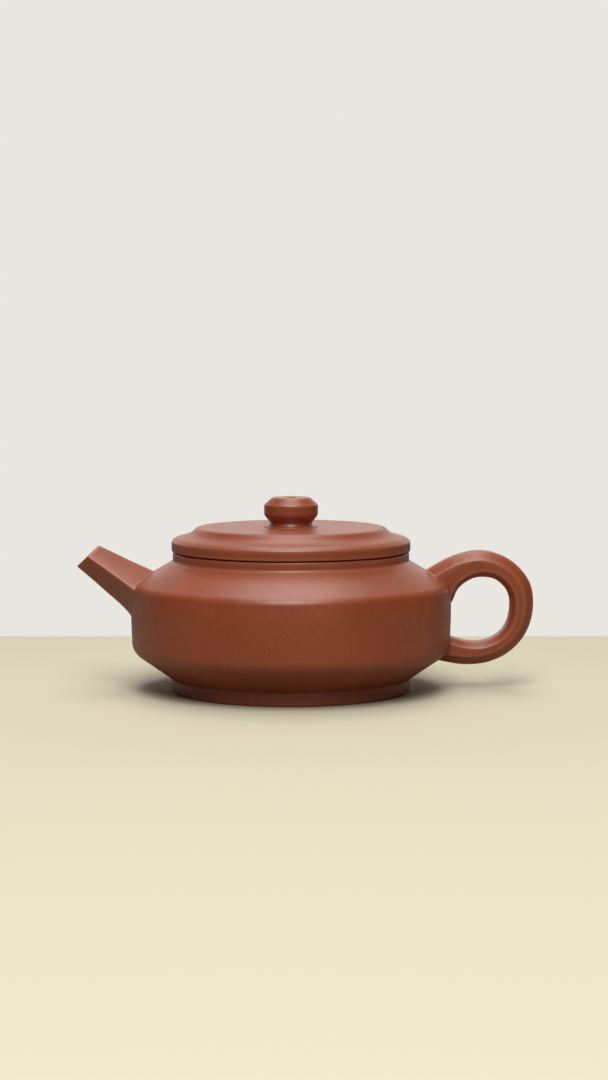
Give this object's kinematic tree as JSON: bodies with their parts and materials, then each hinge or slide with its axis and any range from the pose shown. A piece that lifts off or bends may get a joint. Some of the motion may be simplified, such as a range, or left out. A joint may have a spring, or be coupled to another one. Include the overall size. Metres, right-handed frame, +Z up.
{
  "type": "clay teapot",
  "caption": "Low round unglazed reddish-brown clay teapot with sloping shoulder, upright belly, straight faceted spout, ear-shaped handle and a lift-off lid with a drum knob.",
  "frame": {"origin": "on the table plane, under the middle of the length from spout tip to handle back", "axes": "+X towards the handle, -X towards the spout, +Z up; the pot's turning axis is vertical at x = -4.6 mm"},
  "size_m": [0.1508, 0.106, 0.0639],
  "materials": {
    "clay": "unglazed, burnished, fine sandy grain"
  },
  "bodies": {
    "pot": {"foot_ring": "clay", "base_disc": "clay", "under_slope": "clay", "belly_wall": "clay", "shoulder_slab": "clay", "neck_ring": "clay", "spout": "clay", "handle": "clay"},
    "lid": {"lid_rim": "clay", "lid_plate": "clay", "lid_flange": "clay", "knob_collar": "clay", "knob": "clay"}
  },
  "joints": [
    {"name": "lid_lift", "type": "slide", "parent": "pot", "child": "lid", "axis": [0, 0, 1], "range_m": [0, 0.05]}
  ]
}
